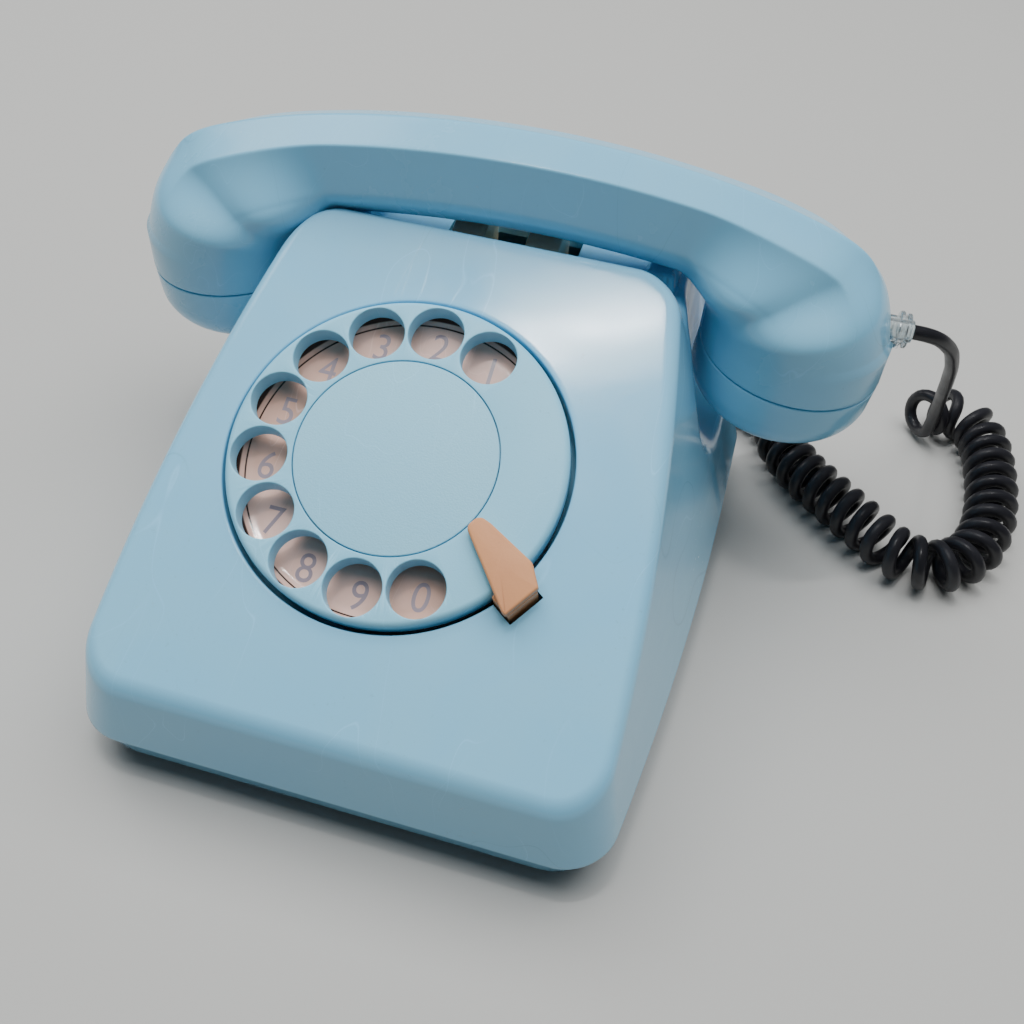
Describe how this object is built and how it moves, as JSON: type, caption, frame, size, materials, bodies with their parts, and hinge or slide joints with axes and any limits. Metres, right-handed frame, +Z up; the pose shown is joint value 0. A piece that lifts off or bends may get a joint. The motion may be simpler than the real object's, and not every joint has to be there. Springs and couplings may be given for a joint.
{
  "type": "rotary desk telephone",
  "caption": "Desk telephone with a sloping face, rotary finger-wheel dial, sprung hook tabs and a lift-off handset on a curly cord.",
  "frame": {"origin": "on the surface it stands on, under the middle of the telephone without its cord", "axes": "+X along the handset to the right of someone facing the dial, -Y is the front, +Z up"},
  "size_m": [0.2893, 0.2238, 0.1238],
  "materials": {
    "shell_blue": "glossy light blue moulded plastic",
    "dial_blue": "satin light turquoise moulded plastic",
    "number_cream": "glossy pink-cream plastic with printed digits",
    "stop_tan": "tan orange plastic",
    "hook_cream": "cream plastic",
    "black_rubber": "black rubber and cord jacket",
    "clear_plastic": "clear plastic",
    "steel": "zinc plated steel",
    "brass": "brass",
    "board_brown": "resin board",
    "dark_plastic": "dark moulded plastic"
  },
  "bodies": {
    "root": {"housing": "shell_blue", "base_plate": "shell_blue", "number_plate": "number_cream", "finger_stop": "stop_tan", "cord_tail": "black_rubber", "cord_coil": "black_rubber", "cord_lead": "black_rubber", "cord_gland": "black_rubber", "line_inlet": "dark_plastic", "circuit_board": "board_brown", "board_standoffs": "hook_cream", "terminal_block": "hook_cream", "speech_transformer": "dark_plastic", "bell_coil": "dark_plastic", "hook_switch": "dark_plastic", "pulse_contacts": "dark_plastic", "capacitor": "steel", "dial_chassis": "steel", "return_spring": "steel", "dial_frame": "steel", "governor_cup": "steel", "gong_left": "brass", "gong_right": "brass", "gong_post_left": "steel", "gong_post_right": "steel", "clapper_pivot": "steel", "foot_1": "black_rubber", "base_screw_1": "steel", "foot_2": "black_rubber", "base_screw_2": "steel", "foot_3": "black_rubber", "base_screw_3": "steel", "foot_4": "black_rubber", "base_screw_4": "steel"},
    "dial": {"finger_wheel": "dial_blue", "centre_disc": "dial_blue", "dial_shaft": "steel", "drive_gear": "brass"},
    "pinion": {"pulse_pinion": "brass"},
    "governor": {"governor": "brass"},
    "hook": {"hook_plunger": "hook_cream"},
    "handset": {"handset_shell": "shell_blue", "ear_cap": "shell_blue", "mouth_cap": "shell_blue", "transmitter_capsule": "dark_plastic", "receiver_capsule": "steel", "cord_sleeve": "clear_plastic"},
    "clapper": {"clapper": "steel"}
  },
  "joints": [
    {"name": "dial_turn", "type": "hinge", "parent": "root", "child": "dial", "pos_m": [-0.008, -0.0197, 0.0705], "axis": [0, -0.4226, 0.9063], "range_deg": [-330, 0], "stiffness_Nm_per_rad": 0.01},
    {"name": "pinion_turn", "type": "hinge", "parent": "root", "child": "pinion", "pos_m": [-0.0418, -0.00618, 0.0415], "axis": [0, -0.4226, 0.9063], "range_deg": [0, 990]},
    {"name": "governor_turn", "type": "hinge", "parent": "root", "child": "governor", "pos_m": [-0.008, 0.0192, 0.05333], "axis": [1, 0, 0], "range_deg": [-1980, 0]},
    {"name": "handset_lift", "type": "slide", "parent": "root", "child": "handset", "axis": [0, 0, 1], "range_m": [0, 0.08]},
    {"name": "hook_rise", "type": "slide", "parent": "root", "child": "hook", "axis": [0, 0, 1], "range_m": [0, 0.005]},
    {"name": "clapper_swing", "type": "hinge", "parent": "root", "child": "clapper", "pos_m": [-0.003, 0.011, 0.014], "axis": [0, 0, 1], "range_deg": [-4, 4]}
  ],
  "couplings": [
    {"joint": "pinion_turn", "follows": "dial_turn", "ratio": -3},
    {"joint": "governor_turn", "follows": "dial_turn", "ratio": 6},
    {"joint": "hook_rise", "follows": "handset_lift", "ratio": 0.0625}
  ]
}
